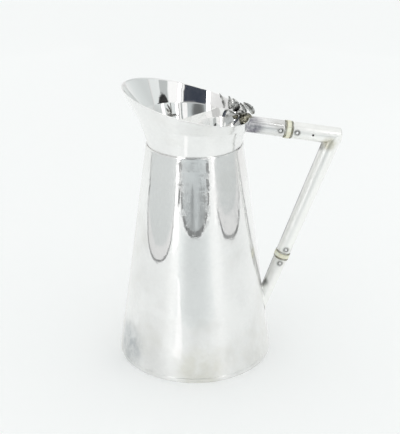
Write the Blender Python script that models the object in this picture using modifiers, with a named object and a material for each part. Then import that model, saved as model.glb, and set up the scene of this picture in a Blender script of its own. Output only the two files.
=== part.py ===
"""Silver water pitcher: a conical body, a flared lipped collar and an insulated angular handle.

Frame: metres, +Z up, origin on the body's axis at the resting face.  The lip points along -X
and the handle along +X.  The pitcher is symmetric about the XZ plane apart from its vent hole
and the leaves of its thumbpiece.  Every sub-part is one object, and soldered neighbours keep a
0.3 mm gap.
"""
import math

import bmesh
import bpy
from mathutils import Matrix, Vector

MM = 0.001

# Gap that stands for a soldered seam, and the sheet that the vessel is raised from
GAP = 0.3 * MM
SHEET = 0.9 * MM
SMOOTH_ANGLE = math.radians(35.0)

# Conical body
BASE_RADIUS = 57.0 * MM
WAIST_RADIUS = 34.2 * MM
WAIST_HEIGHT = 162.6 * MM
FOOT_HEIGHT = 3.2 * MM
FOOT_RADIUS = 57.2 * MM
FOOT_WIDTH = 3.7 * MM
FOOT_EDGE = 0.6 * MM
BASE_THICKNESS = 1.2 * MM

# Collar: a sleeve inside the waist, a flare in two slopes that meet in a crease, and a rim cut
# by a sloping plane
SLEEVE_DEPTH = 4.0 * MM
CREASE_CENTRE_X = -1.5 * MM
CREASE_RADIUS = 38.3 * MM
CREASE_HEIGHT_ON_AXIS = 179.4 * MM
CREASE_SLOPE = -0.085
RIM_CENTRE_X = -5.9 * MM
RIM_HALF_LENGTH = 44.2 * MM
RIM_HALF_WIDTH = 46.0 * MM
RIM_HEIGHT_ON_AXIS = 190.8 * MM
RIM_SLOPE = -0.257
RIM_OVERRUN = 1.03

# Handle: two tapered tubes that meet at a mitred elbow with a blunt end
ELBOW = Vector((98.2, 0.0, 165.1)) * MM
UPPER_ARM_PITCH = math.radians(9.3)
DIAGONAL_LEAN = math.radians(20.0)
ELBOW_TUBE_RADIUS = 6.1 * MM
UPPER_ROOT_RADIUS = 5.8 * MM
LOWER_ROOT_RADIUS = 4.9 * MM
UPPER_ARM_LENGTH = 61.0 * MM
DIAGONAL_LENGTH = 135.8 * MM
CORNER_CAP_X = 103.5 * MM
ELBOW_OVERLAP = 14.0 * MM
UPPER_ROOT_OVERLAP = 4.0 * MM
LOWER_ROOT_OVERLAP = 14.0 * MM
CUTTER_BLOCK = 60.0 * MM

# Bone insulators, each with two ferrules and two cross pins
UPPER_INSULATOR_STATION = 33.3 * MM
LOWER_INSULATOR_STATION = 97.7 * MM
FLANGE_THICKNESS = 3.2 * MM
FLANGE_PROUD = 0.55 * MM
FLANGE_EDGE = 0.5 * MM
FERRULE_THICKNESS = 0.9 * MM
FERRULE_PROUD = 0.4 * MM
TENON_LENGTH = 9.0 * MM
TENON_CLEARANCE = 0.4 * MM
PIN_OFFSET = 5.9 * MM
PIN_RADIUS = 1.15 * MM
PIN_PROUD = 0.25 * MM
PIN_HOLE_LENGTH = 24.0 * MM
VENT_STATION = 15.9 * MM
VENT_RADIUS = 0.8 * MM
VENT_LENGTH = 8.0 * MM

# Thumbpiece: a leafy spray whose saddle lies over the back of the rim, with a knot inside it
SADDLE_CENTRE = Vector((35.9, 0.0, 177.8)) * MM
SADDLE_RADII = Vector((5.2, 5.4, 5.6)) * MM
ROOT_CUTTER_LENGTH = 30.0 * MM
ROOT_CUTTER_OVERRUN = 2.0 * MM
WALL_CUTTER_MARGIN = 1.5 * MM
KNOT_CENTRE = Vector((28.4, 0.0, 180.6)) * MM
KNOT_RADII = Vector((2.3, 2.8, 2.3)) * MM
STEM_START = Vector((25.4, 0.0, 183.1)) * MM
STEM_END = Vector((20.8, 0.0, 184.9)) * MM
STEM_RADIUS = 1.1 * MM
STEM_ARCH = 0.9 * MM
STEM_TAPER = 0.45
LEAF_THICKNESS = 0.8 * MM
LEAF_TIP_HALF_WIDTH = 0.35 * MM
LEAF_BASE_SHARE = 0.12
LEAF_FULLNESS = 0.8
LEAF_ROUNDNESS = 0.7
LEAF_TAPER = 0.25
LEAF_CUP = 0.22

# Facets
BODY_STEPS = 64
TUBE_STEPS = 24
SMALL_STEPS = 16
LUMP_RINGS = 8
STEM_POINTS = 8
RINGS_PER_SLOPE = 3
LEAF_ROWS = 9
LEAF_COLUMNS = 6

UPPER_AXIS = Vector((-math.cos(UPPER_ARM_PITCH), 0.0, math.sin(UPPER_ARM_PITCH)))
DIAGONAL_AXIS = Vector((-math.sin(DIAGONAL_LEAN), 0.0, -math.cos(DIAGONAL_LEAN)))
ACROSS = Vector((0.0, 1.0, 0.0))


def clear_scene():
    for old in list(bpy.data.objects):
        bpy.data.objects.remove(old, do_unlink=True)


def new_collection(name):
    collection = bpy.data.collections.new(name)
    bpy.context.scene.collection.children.link(collection)
    return collection


def make_material(name, colour, roughness, metallic):
    material = bpy.data.materials.new(name)
    material.use_nodes = True
    shader = material.node_tree.nodes["Principled BSDF"]
    shader.inputs["Base Color"].default_value = (*colour, 1.0)
    shader.inputs["Roughness"].default_value = roughness
    shader.inputs["Metallic"].default_value = metallic
    return material


def add_part(name, mesh, material):
    part = bpy.data.objects.new(name, mesh)
    PARTS.objects.link(part)
    mesh.materials.append(material)
    return part


def shade_smooth(mesh):
    mesh.shade_smooth()
    mesh.set_sharp_from_angle(angle=SMOOTH_ANGLE)


def place_on_axis(part, origin, direction):
    """Stand the part's own Z axis along direction, with its origin at origin."""
    part.location = origin
    part.rotation_mode = "QUATERNION"
    part.rotation_quaternion = direction.to_track_quat("Z", "Y")


def add_screw(part, steps):
    screw = part.modifiers.new("turned", "SCREW")
    screw.axis = "Z"
    screw.angle = 2.0 * math.pi
    screw.steps = steps
    screw.render_steps = steps
    screw.use_merge_vertices = True
    screw.merge_threshold = 0.00001
    screw.use_smooth_shade = True


def profile_mesh(name, points, closed):
    """Mesh of one profile in the XZ plane, from (radius, height) pairs."""
    edges = [(i, i + 1) for i in range(len(points) - 1)]
    if closed:
        edges.append((len(points) - 1, 0))
    mesh = bpy.data.meshes.new(name)
    mesh.from_pydata([(r, 0.0, z) for r, z in points], edges, [])
    return mesh


def add_turned(name, points, closed, material, steps):
    part = add_part(name, profile_mesh(name, points, closed), material)
    add_screw(part, steps)
    return part


def add_cutter(name, mesh):
    cutter = bpy.data.objects.new(name, mesh)
    CUTTERS.objects.link(cutter)
    cutter.hide_render = True
    cutter.display_type = "WIRE"
    return cutter


def add_cut(part, cutter):
    cut = part.modifiers.new(cutter.name, "BOOLEAN")
    cut.object = cutter
    cut.operation = "DIFFERENCE"
    cut.solver = "EXACT"


def rod_mesh(name, radius, length, steps):
    """Mesh of a closed rod along Z, centred on its own origin."""
    mesh = bpy.data.meshes.new(name)
    shape = bmesh.new()
    bmesh.ops.create_cone(
        shape, cap_ends=True, segments=steps, radius1=radius, radius2=radius, depth=length
    )
    shape.to_mesh(mesh)
    shape.free()
    return mesh


def box_mesh(name, size, centre):
    mesh = bpy.data.meshes.new(name)
    shape = bmesh.new()
    bmesh.ops.create_cube(shape, size=size)
    bmesh.ops.translate(shape, verts=shape.verts, vec=centre)
    shape.to_mesh(mesh)
    shape.free()
    return mesh


# ---------------------------------------------------------------- vessel


def body_radius(height):
    """Outer radius of the conical body."""
    return BASE_RADIUS + (WAIST_RADIUS - BASE_RADIUS) * height / WAIST_HEIGHT


def make_body():
    foot = FOOT_HEIGHT + GAP
    points = [
        (WAIST_RADIUS, WAIST_HEIGHT),
        (body_radius(foot), foot),
        (body_radius(foot) - SHEET, foot),
        (WAIST_RADIUS - SHEET, WAIST_HEIGHT),
    ]
    add_turned("body", points, True, SILVER, BODY_STEPS)


def make_foot_ring():
    inner = FOOT_RADIUS - FOOT_WIDTH
    points = [
        (FOOT_RADIUS - FOOT_EDGE, FOOT_HEIGHT),
        (FOOT_RADIUS, FOOT_HEIGHT - FOOT_EDGE),
        (FOOT_RADIUS, FOOT_EDGE),
        (FOOT_RADIUS - FOOT_EDGE, 0.0),
        (inner, 0.0),
        (inner, FOOT_HEIGHT),
    ]
    add_turned("foot_ring", points, True, SILVER, BODY_STEPS)


def make_base_plate():
    radius = FOOT_RADIUS - FOOT_WIDTH - GAP
    mesh = rod_mesh("base_plate", radius, BASE_THICKNESS, BODY_STEPS)
    plate = add_part("base_plate", mesh, SILVER)
    plate.location.z = BASE_THICKNESS / 2


def crease_point(angle, offset):
    """Outer edge of the crease between the collar's two slopes."""
    x = CREASE_CENTRE_X + (CREASE_RADIUS + offset) * math.cos(angle)
    y = (CREASE_RADIUS + offset) * math.sin(angle)
    return Vector((x, y, CREASE_HEIGHT_ON_AXIS + CREASE_SLOPE * x))


def rim_point(angle, offset):
    """Outer edge of the rim."""
    x = RIM_CENTRE_X + (RIM_HALF_LENGTH + offset) * math.cos(angle)
    y = (RIM_HALF_WIDTH + offset) * math.sin(angle)
    return Vector((x, y, RIM_HEIGHT_ON_AXIS + RIM_SLOPE * x))


def collar_rings(offset, overrun=1.0):
    """Rings of the collar's outer face, from the sleeve's foot to the rim or a little past it."""
    angles = [2.0 * math.pi * i / BODY_STEPS for i in range(BODY_STEPS)]
    sleeve = WAIST_RADIUS - SHEET - GAP + offset
    foot, waist = (
        [Vector((sleeve * math.cos(a), sleeve * math.sin(a), height)) for a in angles]
        for height in (WAIST_HEIGHT - SLEEVE_DEPTH, WAIST_HEIGHT)
    )
    crease = [crease_point(a, offset) for a in angles]
    rim = [c.lerp(rim_point(a, offset), overrun) for a, c in zip(angles, crease)]
    rings = [foot, waist]
    for low, high in ((waist, crease), (crease, rim)):
        for i in range(1, RINGS_PER_SLOPE + 1):
            share = i / RINGS_PER_SLOPE
            rings.append([a.lerp(b, share) for a, b in zip(low, high)])
    return rings


def loft_mesh(name, rings, capped):
    """Skin equal rings of points, running upwards, into a tube."""
    mesh = bpy.data.meshes.new(name)
    shape = bmesh.new()
    loops = [[shape.verts.new(p) for p in ring] for ring in rings]
    count = len(rings[0])
    for low, high in zip(loops, loops[1:]):
        for i in range(count):
            j = (i + 1) % count
            shape.faces.new((low[i], low[j], high[j], high[i]))
    if capped:
        shape.faces.new(list(reversed(loops[0])))
        shape.faces.new(loops[-1])
    shape.to_mesh(mesh)
    shape.free()
    return mesh


def add_sheet(shell, thickness, offset):
    sheet = shell.modifiers.new("sheet", "SOLIDIFY")
    sheet.thickness = thickness
    sheet.offset = offset
    sheet.use_even_offset = True


def make_collar():
    mesh = loft_mesh("collar", collar_rings(0.0), False)
    shade_smooth(mesh)
    collar = add_part("collar", mesh, SILVER)
    add_sheet(collar, SHEET, -1.0)


# ---------------------------------------------------------------- handle


def upper_radius(station):
    """Outer radius of the upper tube, at a distance from the elbow."""
    return ELBOW_TUBE_RADIUS + (UPPER_ROOT_RADIUS - ELBOW_TUBE_RADIUS) * station / UPPER_ARM_LENGTH


def diagonal_radius(station):
    """Outer radius of the diagonal tube, at a distance from the elbow."""
    return ELBOW_TUBE_RADIUS + (LOWER_ROOT_RADIUS - ELBOW_TUBE_RADIUS) * station / DIAGONAL_LENGTH


def add_tube(name, axis, radius_at, near, far):
    """Open tapered tube along axis, between two distances from the elbow."""
    points = [
        (radius_at(far), far),
        (radius_at(near), near),
        (radius_at(near) - SHEET, near),
        (radius_at(far) - SHEET, far),
    ]
    tube = add_turned(name, points, True, SILVER, TUBE_STEPS)
    place_on_axis(tube, ELBOW, axis)
    return tube


def add_mitre_cutter(name, axis, other_axis):
    """Block that removes what lies past the mitre plane, on the other arm's side."""
    centre = Vector((0.0, 0.0, (CUTTER_BLOCK - GAP) / 2))
    block = add_cutter(name, box_mesh(name, CUTTER_BLOCK, centre))
    place_on_axis(block, ELBOW, (other_axis - axis).normalized())
    return block


def add_corner_cutter():
    """Block that blunts the elbow's tip just inside the corner cap."""
    x = CORNER_CAP_X - SHEET - GAP + CUTTER_BLOCK / 2
    mesh = box_mesh("corner_cutter", CUTTER_BLOCK, Vector((x, 0.0, ELBOW.z)))
    return add_cutter("corner_cutter", mesh)


def collar_cutter():
    mesh = loft_mesh("collar_cutter", collar_rings(GAP), True)
    return add_cutter("collar_cutter", mesh)


def body_cutter():
    rings = []
    for height in (0.0, WAIST_HEIGHT):
        radius = body_radius(height) + GAP
        ring = []
        for i in range(BODY_STEPS):
            angle = 2.0 * math.pi * i / BODY_STEPS
            ring.append(Vector((radius * math.cos(angle), radius * math.sin(angle), height)))
        rings.append(ring)
    return add_cutter("body_cutter", loft_mesh("body_cutter", rings, True))


def add_pin_hole(targets, name, axis, station):
    hole = add_cutter(name, rod_mesh(name, PIN_RADIUS + GAP, PIN_HOLE_LENGTH, SMALL_STEPS))
    place_on_axis(hole, ELBOW + station * axis, ACROSS)
    for target in targets:
        add_cut(target, hole)


def make_handle_tubes():
    end = FLANGE_THICKNESS / 2 + FERRULE_THICKNESS + 2 * GAP
    socket = add_tube(
        "upper_handle_socket",
        UPPER_AXIS,
        upper_radius,
        UPPER_INSULATOR_STATION + end,
        UPPER_ARM_LENGTH + UPPER_ROOT_OVERLAP,
    )
    add_cut(socket, collar_cutter())
    arm = add_tube(
        "handle_upper_arm",
        UPPER_AXIS,
        upper_radius,
        -ELBOW_OVERLAP,
        UPPER_INSULATOR_STATION - end,
    )
    diagonal = add_tube(
        "handle_diagonal_arm",
        DIAGONAL_AXIS,
        diagonal_radius,
        -ELBOW_OVERLAP,
        LOWER_INSULATOR_STATION - end,
    )
    foot = add_tube(
        "lower_handle_socket",
        DIAGONAL_AXIS,
        diagonal_radius,
        LOWER_INSULATOR_STATION + end,
        DIAGONAL_LENGTH + LOWER_ROOT_OVERLAP,
    )
    add_cut(foot, body_cutter())
    add_cut(arm, add_mitre_cutter("mitre_of_upper_arm", UPPER_AXIS, DIAGONAL_AXIS))
    add_cut(diagonal, add_mitre_cutter("mitre_of_diagonal_arm", DIAGONAL_AXIS, UPPER_AXIS))
    corner = add_corner_cutter()
    add_cut(arm, corner)
    add_cut(diagonal, corner)
    vent = add_cutter("vent_cutter", rod_mesh("vent_cutter", VENT_RADIUS, VENT_LENGTH, SMALL_STEPS))
    near_wall = -upper_radius(VENT_STATION) * ACROSS
    place_on_axis(vent, ELBOW + VENT_STATION * UPPER_AXIS + near_wall, ACROSS)
    add_cut(arm, vent)
    return socket, arm, diagonal, foot


def make_corner_cap():
    """Plate that closes the blunted elbow: an oval as tall as the cut through both tubes."""
    tip = ELBOW_TUBE_RADIUS / math.sin((math.pi / 2 + UPPER_ARM_PITCH - DIAGONAL_LEAN) / 2)
    bisector = -(UPPER_AXIS + DIAGONAL_AXIS).normalized()
    corner = ELBOW + tip * bisector
    depth = corner.x - CORNER_CAP_X
    top = corner.z + depth * math.tan(UPPER_ARM_PITCH)
    bottom = corner.z - depth / math.tan(DIAGONAL_LEAN)
    half_height = (top - bottom) / 2
    half_width = math.sqrt(ELBOW_TUBE_RADIUS ** 2 - (ELBOW_TUBE_RADIUS - half_height / 2) ** 2)
    mesh = rod_mesh("handle_corner_cap", 1.0, SHEET, TUBE_STEPS)
    mesh.transform(Matrix.Diagonal((half_height, half_width, 1.0, 1.0)))
    cap = add_part("handle_corner_cap", mesh, SILVER)
    cap.location = (CORNER_CAP_X - SHEET / 2, 0.0, (top + bottom) / 2)
    cap.rotation_euler = (0.0, math.pi / 2, 0.0)


def make_insulator(prefix, axis, radius_at, station, inner_tube, outer_tube):
    """Bone spacer with tenons, two ferrules, and the two pins that lock it in its tubes."""
    tube_radius = radius_at(station)
    tenon = tube_radius - SHEET - TENON_CLEARANCE
    flange = tube_radius + FLANGE_PROUD
    half = FLANGE_THICKNESS / 2
    points = [
        (0.0, half + TENON_LENGTH),
        (tenon, half + TENON_LENGTH),
        (tenon, half),
        (flange - FLANGE_EDGE, half),
        (flange, half - FLANGE_EDGE),
        (flange, FLANGE_EDGE - half),
        (flange - FLANGE_EDGE, -half),
        (tenon, -half),
        (tenon, -half - TENON_LENGTH),
        (0.0, -half - TENON_LENGTH),
    ]
    insulator = add_turned(prefix + "_insulator", points, False, BONE, TUBE_STEPS)
    place_on_axis(insulator, ELBOW + station * axis, axis)

    ferrule_radius = tube_radius + FERRULE_PROUD
    bore = tenon + GAP
    low = half + GAP
    high = low + FERRULE_THICKNESS
    for side, name in ((-1, "outer"), (1, "inner")):
        near, far = sorted((side * low, side * high))
        ring = [(ferrule_radius, far), (ferrule_radius, near), (bore, near), (bore, far)]
        ferrule = add_turned(f"{prefix}_{name}_ferrule", ring, True, SILVER, TUBE_STEPS)
        place_on_axis(ferrule, ELBOW + station * axis, axis)

    for side, name, tube in ((-1, "outer", outer_tube), (1, "inner", inner_tube)):
        place = station + side * PIN_OFFSET
        add_pin_hole((insulator, tube), f"{prefix}_{name}_pin_hole", axis, place)
        length = 2 * (radius_at(place) + PIN_PROUD)
        mesh = rod_mesh(f"{prefix}_{name}_pin", PIN_RADIUS, length, SMALL_STEPS)
        shade_smooth(mesh)
        pin = add_part(f"{prefix}_{name}_pin", mesh, SILVER)
        place_on_axis(pin, ELBOW + place * axis, ACROSS)


# ---------------------------------------------------------------- thumbpiece


def cut_saddle(saddle):
    """Slot the saddle over the collar's wall and round the root of the handle."""
    rings = collar_rings(GAP + WALL_CUTTER_MARGIN, RIM_OVERRUN)
    wall = add_cutter("collar_wall_cutter", loft_mesh("collar_wall_cutter", rings, False))
    add_sheet(wall, SHEET + 2 * GAP + WALL_CUTTER_MARGIN, -1.0)
    add_cut(saddle, wall)
    mesh = rod_mesh("root_cutter", UPPER_ROOT_RADIUS + 2 * GAP, ROOT_CUTTER_LENGTH, TUBE_STEPS)
    root = add_cutter("root_cutter", mesh)
    middle = UPPER_ARM_LENGTH + ROOT_CUTTER_OVERRUN - ROOT_CUTTER_LENGTH / 2
    place_on_axis(root, ELBOW + middle * UPPER_AXIS, UPPER_AXIS)
    add_cut(saddle, root)


def make_lump(name, centre, radii):
    """Rounded casting with its own half sizes along X, Y and Z."""
    mesh = bpy.data.meshes.new(name)
    shape = bmesh.new()
    bmesh.ops.create_uvsphere(
        shape, u_segments=SMALL_STEPS, v_segments=LUMP_RINGS, radius=1.0
    )
    bmesh.ops.transform(shape, matrix=Matrix.Diagonal((*radii, 1.0)), verts=shape.verts)
    shape.to_mesh(mesh)
    shape.free()
    shade_smooth(mesh)
    lump = add_part(name, mesh, CAST_SILVER)
    lump.location = centre
    return lump


def make_stem():
    """Twig that runs from the knot towards the mouth, just above the rim's plane."""
    curve = bpy.data.curves.new("thumbpiece_stem", "CURVE")
    curve.dimensions = "3D"
    curve.bevel_depth = STEM_RADIUS
    curve.bevel_resolution = 2
    curve.use_fill_caps = True
    curve.render_resolution_u = 0
    spline = curve.splines.new("POLY")
    spline.points.add(STEM_POINTS - 1)
    for i in range(STEM_POINTS):
        part = i / (STEM_POINTS - 1)
        point = STEM_START.lerp(STEM_END, part)
        point.z += STEM_ARCH * math.sin(math.pi * part)
        spline.points[i].co = (*point, 1.0)
        spline.points[i].radius = 1.0 - STEM_TAPER * part
    stem = bpy.data.objects.new("thumbpiece_stem", curve)
    PARTS.objects.link(stem)
    curve.materials.append(CAST_SILVER)


def make_leaf(name, root, tip, width, facing, curl):
    """Cupped pointed leaf from root to tip, whose upper face looks along facing."""
    along = tip - root
    across = along.cross(facing).normalized()
    up = across.cross(along).normalized()
    mesh = bpy.data.meshes.new(name)
    shape = bmesh.new()
    grid = []
    for i in range(LEAF_ROWS):
        u = i / (LEAF_ROWS - 1)
        swell = max(0.0, math.sin(math.pi * u ** LEAF_FULLNESS)) ** LEAF_ROUNDNESS
        half = width / 2 * (LEAF_BASE_SHARE + (1.0 - LEAF_BASE_SHARE) * swell)
        half = max(half * (1.0 - LEAF_TAPER * u), LEAF_TIP_HALF_WIDTH)
        row = []
        for j in range(LEAF_COLUMNS + 1):
            v = 2.0 * j / LEAF_COLUMNS - 1.0
            lift = curl * math.sin(math.pi * u) + LEAF_CUP * half * abs(v) ** 1.5
            row.append(shape.verts.new(root + u * along + v * half * across + lift * up))
        grid.append(row)
    for low, high in zip(grid, grid[1:]):
        for j in range(LEAF_COLUMNS):
            shape.faces.new((low[j], low[j + 1], high[j + 1], high[j]))
    bmesh.ops.recalc_face_normals(shape, faces=shape.faces)
    shape.to_mesh(mesh)
    shape.free()
    shade_smooth(mesh)
    leaf = add_part(name, mesh, CAST_SILVER)
    add_sheet(leaf, LEAF_THICKNESS, 0.0)


def make_leaves():
    """Three upright leaves near the centre line and three spread about the stem."""
    sideways = Vector((0.45, -0.85, 0.25))
    upwards = Vector((0.3, 0.0, 1.0))
    leaves = (
        ("thumb_leaf_back", (41.3, 0.4, 182.2), (34.0, 1.2, 190.3), 5.2, sideways, 1.5),
        ("thumb_leaf_middle", (35.4, -2.4, 184.0), (31.2, -2.2, 191.0), 4.6, sideways, 1.2),
        ("thumb_leaf_front", (28.8, 1.0, 183.8), (26.4, 1.6, 193.2), 8.2, sideways, 1.2),
        ("thumb_leaf_far", (24.8, 3.6, 184.8), (24.4, 9.5, 192.4), 5.4, upwards, 1.2),
        ("thumb_leaf_left", (20.8, 2.6, 186.2), (17.8, 10.8, 194.0), 3.6, upwards, 1.0),
        ("thumb_leaf_near", (28.2, -3.4, 183.4), (20.6, -13.0, 184.4), 8.6, upwards, 1.2),
    )
    for name, root, tip, width, facing, curl in leaves:
        make_leaf(name, Vector(root) * MM, Vector(tip) * MM, width * MM, facing, curl * MM)


clear_scene()
PARTS = new_collection("silver_water_pitcher")
CUTTERS = new_collection("cutters")
SILVER = make_material("polished_silver", (0.86, 0.85, 0.83), 0.12, 1.0)
CAST_SILVER = make_material("cast_silver", (0.62, 0.61, 0.57), 0.3, 1.0)
BONE = make_material("bone", (0.84, 0.80, 0.66), 0.45, 0.0)

make_body()
make_foot_ring()
make_base_plate()
make_collar()
upper_socket, upper_arm, diagonal_arm, lower_socket = make_handle_tubes()
make_corner_cap()
make_insulator("upper", UPPER_AXIS, upper_radius, UPPER_INSULATOR_STATION, upper_socket, upper_arm)
make_insulator(
    "lower", DIAGONAL_AXIS, diagonal_radius, LOWER_INSULATOR_STATION, lower_socket, diagonal_arm
)
cut_saddle(make_lump("thumbpiece_saddle", SADDLE_CENTRE, SADDLE_RADII))
make_lump("thumbpiece_knot", KNOT_CENTRE, KNOT_RADII)
make_stem()
make_leaves()
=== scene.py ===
"""Looks of the silver water pitcher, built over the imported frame.

Every shown piece replaces the CAD node of the same place.  Lengths are in metres, in the frame's
own axes: +Z up from the resting face, the lip towards -X and the handle towards +X.
"""
import math

import bmesh
import bpy
from mathutils import Matrix, Vector, noise
from mathutils.bvhtree import BVHTree


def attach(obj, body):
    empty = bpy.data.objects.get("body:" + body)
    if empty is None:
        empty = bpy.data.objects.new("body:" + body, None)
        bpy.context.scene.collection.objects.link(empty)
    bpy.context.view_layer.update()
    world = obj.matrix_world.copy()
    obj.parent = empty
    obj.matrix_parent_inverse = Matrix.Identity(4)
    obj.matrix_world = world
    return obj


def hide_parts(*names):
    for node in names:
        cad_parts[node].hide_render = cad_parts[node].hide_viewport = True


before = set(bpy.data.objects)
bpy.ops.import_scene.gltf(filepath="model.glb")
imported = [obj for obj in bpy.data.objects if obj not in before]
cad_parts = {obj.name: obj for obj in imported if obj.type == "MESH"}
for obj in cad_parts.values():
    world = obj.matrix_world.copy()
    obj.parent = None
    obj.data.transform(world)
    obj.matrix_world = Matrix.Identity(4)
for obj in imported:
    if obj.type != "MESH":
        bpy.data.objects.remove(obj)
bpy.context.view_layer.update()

MM = 0.001
SHEET = 0.9 * MM

# Vessel
BASE_RADIUS = 57.0 * MM
WAIST_RADIUS = 34.2 * MM
WAIST_HEIGHT = 162.6 * MM
FOOT_HEIGHT = 3.2 * MM
FOOT_RADIUS = 57.2 * MM
FOOT_WIDTH = 3.7 * MM
SLEEVE_DEPTH = 4.0 * MM
SLEEVE_RADIUS = WAIST_RADIUS - SHEET - 0.05 * MM
CREASE_CENTRE_X = -1.5 * MM
CREASE_RADIUS = 38.3 * MM
CREASE_HEIGHT_ON_AXIS = 179.4 * MM
CREASE_SLOPE = -0.085
RIM_CENTRE_X = -5.9 * MM
RIM_HALF_LENGTH = 44.2 * MM
RIM_HALF_WIDTH = 46.0 * MM
RIM_HEIGHT_ON_AXIS = 190.8 * MM
RIM_SLOPE = -0.257
CREASE_RISE = 0.55
LOWER_SAG = 0.35 * MM

# Handle
ELBOW = Vector((98.2, 0.0, 165.1)) * MM
UPPER_ARM_PITCH = math.radians(9.3)
DIAGONAL_LEAN = math.radians(20.0)
ELBOW_TUBE_RADIUS = 6.1 * MM
UPPER_ROOT_RADIUS = 5.8 * MM
LOWER_ROOT_RADIUS = 4.9 * MM
UPPER_ARM_LENGTH = 61.0 * MM
DIAGONAL_LENGTH = 135.8 * MM
CORNER_CAP_X = 103.5 * MM
UPPER_INSULATOR_STATION = 33.3 * MM
LOWER_INSULATOR_STATION = 97.7 * MM
FLANGE_THICKNESS = 3.2 * MM
FLANGE_PROUD = 0.55 * MM
FERRULE_THICKNESS = 0.9 * MM
FERRULE_PROUD = 0.4 * MM
FERRULE_GAP = 0.3 * MM
TENON_LENGTH = 9.0 * MM
TENON_CLEARANCE = 0.4 * MM
PIN_OFFSET = 5.9 * MM
PIN_RADIUS = 1.15 * MM
PIN_PROUD = 0.25 * MM
VENT_STATION = 15.9 * MM
VENT_RADIUS = 0.8 * MM
MITRE_EDGE = 0.05 * MM
OPEN_EDGE = 0.2 * MM
FLANGE_EDGE = 0.7 * MM
FERRULE_CROWN = 0.35 * MM
SOLDER_SINK = 0.35 * MM
PIN_CLEARANCE = 0.28 * MM

# Sharpest angle in degrees that still shades smooth
SHEET_CREASE = 40.0
METAL_CREASE = 50.0
CAST_CREASE = 60.0
FOLD_CREASE = 70.0

UPPER_AXIS = Vector((-math.cos(UPPER_ARM_PITCH), 0.0, math.sin(UPPER_ARM_PITCH)))
DIAGONAL_AXIS = Vector((-math.sin(DIAGONAL_LEAN), 0.0, -math.cos(DIAGONAL_LEAN)))
ACROSS = Vector((0.0, 1.0, 0.0))

# Domed end of a pin: depth from its tip, and radius
PIN_DOME = (
    (0.0, 0.1 * MM),
    (0.04 * MM, 0.55 * MM),
    (0.14 * MM, 0.9 * MM),
    (0.3 * MM, 1.1 * MM),
    (0.5 * MM, PIN_RADIUS),
)

# Thumbpiece
SADDLE_CENTRE = Vector((35.9, 0.0, 177.8)) * MM
SADDLE_RADII = Vector((5.2, 5.4, 5.6)) * MM
KNOT_CENTRE = Vector((28.4, 0.0, 180.6)) * MM
KNOT_RADII = Vector((2.3, 2.8, 2.3)) * MM
FOLD_CENTRE = Vector((32.4, -0.6, 183.4)) * MM
FOLD_RADII = Vector((3.9, 2.8, 2.2)) * MM
STEM_START = Vector((25.4, 0.0, 183.1)) * MM
STEM_END = Vector((20.8, 0.0, 184.9)) * MM
STEM_RADIUS = 1.1 * MM

ROUND_STEPS = 256
TUBE_STEPS = 96
PIN_STEPS = 32
TWIG_STEPS = 24


# ---------------------------------------------------------------- mesh helpers


def link(thing):
    bpy.context.scene.collection.objects.link(thing)


def add_object(name, mesh, material, nodes):
    """Link a finished piece: it rides on the one body and stands for its CAD nodes."""
    piece = bpy.data.objects.new(name, mesh)
    link(piece)
    mesh.materials.append(material)
    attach(piece, "root")
    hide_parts(*nodes)
    return piece


def finish_mesh(mesh, crease):
    """Face every normal outwards and shade smooth, with sharp edges above an angle."""
    shape = bmesh.new()
    shape.from_mesh(mesh)
    bmesh.ops.recalc_face_normals(shape, faces=shape.faces)
    shape.to_mesh(mesh)
    shape.free()
    mesh.shade_smooth()
    mesh.set_sharp_from_angle(angle=math.radians(crease))
    return mesh


def close_ends(mesh):
    """Fill the open rings at a mesh's ends."""
    shape = bmesh.new()
    shape.from_mesh(mesh)
    bmesh.ops.holes_fill(shape, edges=shape.edges, sides=0)
    shape.to_mesh(mesh)
    shape.free()
    return mesh


def ringed_mesh(name, rings, crease, closed=True):
    """Finished mesh of quads between rings of points: closed on itself, or with filled ends."""
    mesh = bpy.data.meshes.new(name)
    steps = len(rings[0])
    points = [p for row in rings for p in row]
    faces = []
    for i in range(len(rings) if closed else len(rings) - 1):
        k = (i + 1) % len(rings)
        for j in range(steps):
            n = (j + 1) % steps
            faces.append((i * steps + j, i * steps + n, k * steps + n, k * steps + j))
    mesh.from_pydata(points, [], faces)
    return finish_mesh(mesh if closed else close_ends(mesh), crease)


def turns(count):
    """Angles in even steps all the way round."""
    return [2.0 * math.pi * i / count for i in range(count)]


def ring(radius, height):
    return [Vector((radius * math.cos(a), radius * math.sin(a), height)) for a in turns(ROUND_STEPS)]


def smoothstep(low, high, value):
    t = min(1.0, max(0.0, (value - low) / (high - low)))
    return t * t * (3.0 - 2.0 * t)


def between(start, end, count):
    return [start + (end - start) * i / (count - 1) for i in range(count)]


# ---------------------------------------------------------------- vessel


# Small dents: angle round the axis, height, depth and radius
DENTS = (
    (math.radians(-66.0), 15.0 * MM, 0.32 * MM, 2.2 * MM),
    (math.radians(-61.0), 12.5 * MM, 0.22 * MM, 1.6 * MM),
    (math.radians(-128.0), 32.0 * MM, 0.16 * MM, 6.0 * MM),
    (math.radians(-98.0), 58.0 * MM, 0.08 * MM, 5.0 * MM),
    (math.radians(150.0), 44.0 * MM, 0.16 * MM, 4.5 * MM),
    (math.radians(62.0), 26.0 * MM, 0.14 * MM, 3.5 * MM),
)


def body_radius(height):
    return BASE_RADIUS + (WAIST_RADIUS - BASE_RADIUS) * height / WAIST_HEIGHT


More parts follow.
